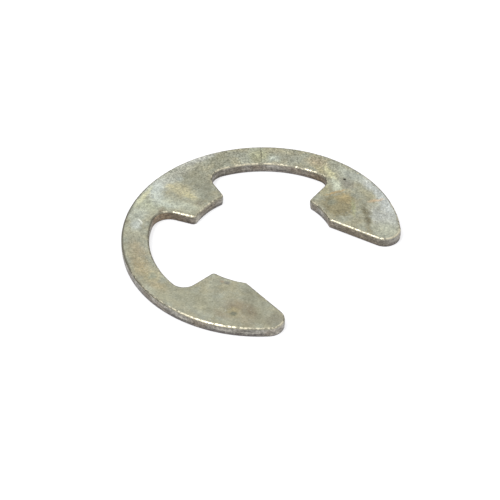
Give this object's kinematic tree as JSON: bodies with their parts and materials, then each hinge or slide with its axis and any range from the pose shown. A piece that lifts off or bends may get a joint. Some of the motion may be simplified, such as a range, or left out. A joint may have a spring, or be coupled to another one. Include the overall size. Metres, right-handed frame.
{
  "type": "e-style retaining ring",
  "caption": "Flat spring-steel retaining ring of the E type: a C-shaped plate with a side mouth, two jaw pads and a back prong that seat in a groove on a shaft.",
  "frame": {"origin": "centre of the seat circle, on the lower (torn) face", "axes": "+Z along the shaft, out of the rolled upper face; +X from the shaft out through the mouth; +Y across the mouth"},
  "size_m": [0.0288, 0.033, 0.0013],
  "materials": {
    "plated_steel": "dull zinc plate with an olive-grey passivation, mottled and lightly stained; worn bright on the rolled upper edge"
  },
  "bodies": {
    "root": {"e_clip": "plated_steel"}
  },
  "joints": []
}
